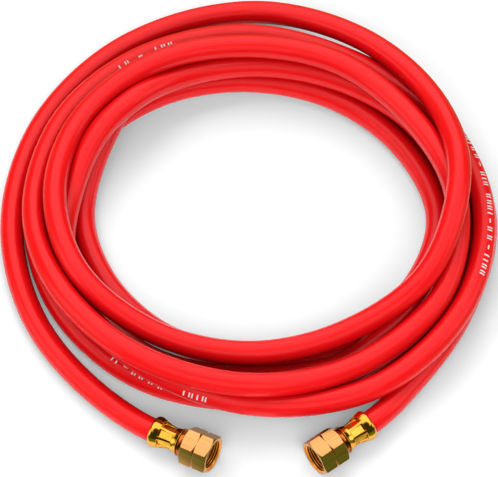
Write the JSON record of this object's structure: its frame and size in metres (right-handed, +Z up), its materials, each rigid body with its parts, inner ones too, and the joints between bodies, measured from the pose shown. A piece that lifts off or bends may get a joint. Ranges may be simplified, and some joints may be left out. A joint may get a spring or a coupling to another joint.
{
  "type": "rubber gas hose",
  "caption": "Coiled red rubber gas hose of 6 mm bore, with a crimped brass ferrule and a swivelling union nut on each end.",
  "frame": {"origin": "centre of the whole part's plan, on the surface it lies on", "axes": "+Z up, square to the lying coil; +Y from the two fittings across the coil to its back"},
  "size_m": [0.2718, 0.3056, 0.0523],
  "materials": {
    "hose_rubber": "smooth satin red rubber",
    "ferrule_brass": "polished, gilt",
    "nipple_brass": "turned",
    "nut_brass": "satin, machined"
  },
  "bodies": {
    "hose": {"hose": "hose_rubber", "ferrule_left": "ferrule_brass", "ferrule_right": "ferrule_brass", "nipple_left": "nipple_brass", "nipple_right": "nipple_brass"},
    "nut_left": {"union_nut_left": "nut_brass"},
    "nut_right": {"union_nut_right": "nut_brass"}
  },
  "joints": [
    {"name": "left_nut_turn", "type": "hinge", "parent": "hose", "child": "nut_left", "pos_m": [-0.02553, -0.13976, 0.01101], "axis": [0.8796, -0.4677, 0.0872], "continuous": true},
    {"name": "right_nut_turn", "type": "hinge", "parent": "hose", "child": "nut_right", "pos_m": [0.04086, -0.13973, 0.0095], "axis": [-0.8039, -0.5948, 0], "continuous": true}
  ]
}
